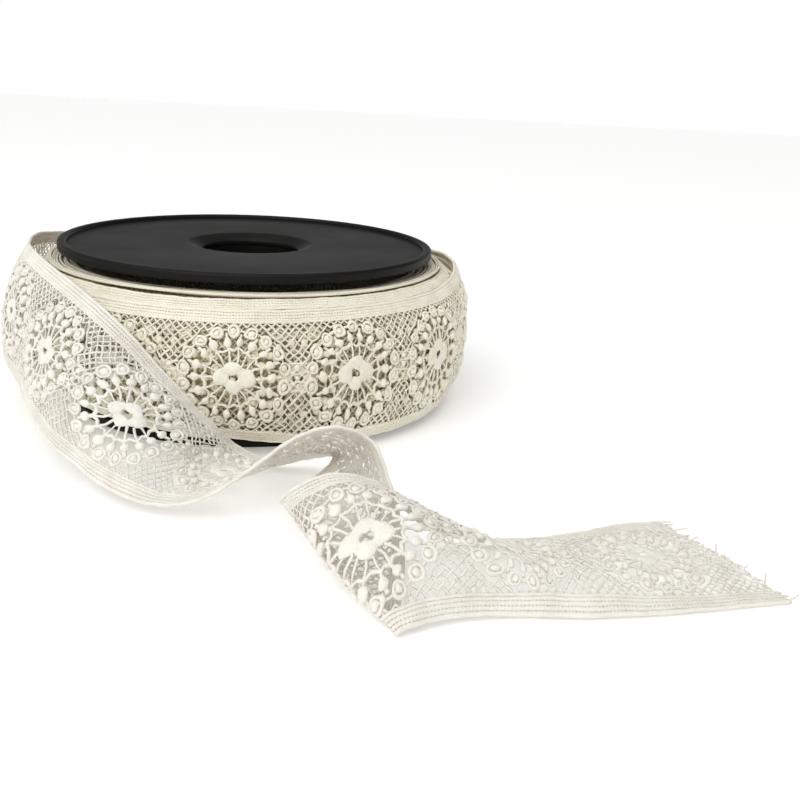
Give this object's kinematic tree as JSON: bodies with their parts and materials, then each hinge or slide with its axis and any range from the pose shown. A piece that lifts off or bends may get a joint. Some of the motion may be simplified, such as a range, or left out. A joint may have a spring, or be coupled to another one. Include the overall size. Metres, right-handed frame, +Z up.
{
  "type": "spool of lace ribbon",
  "caption": "Round black plastic reel wound full with a band of cream cotton lace; the loose end falls, arches, turns over and lies flat on the surface.",
  "frame": {"origin": "on the surface it stands on, under the middle of the box round the whole part", "axes": "+Z up along the reel's axis, -Y towards the side where the free end lies, +X towards its cut end"},
  "size_m": [0.2298, 0.2772, 0.0606],
  "materials": {
    "black_plastic": "satin moulded",
    "cream_lace": "matte cotton",
    "pale_lace": "matte cotton"
  },
  "bodies": {
    "root": {"reel_lower_flange": "black_plastic", "reel_upper_flange": "black_plastic", "reel_core": "black_plastic", "wound_lace": "cream_lace", "free_end": "pale_lace"}
  },
  "joints": []
}
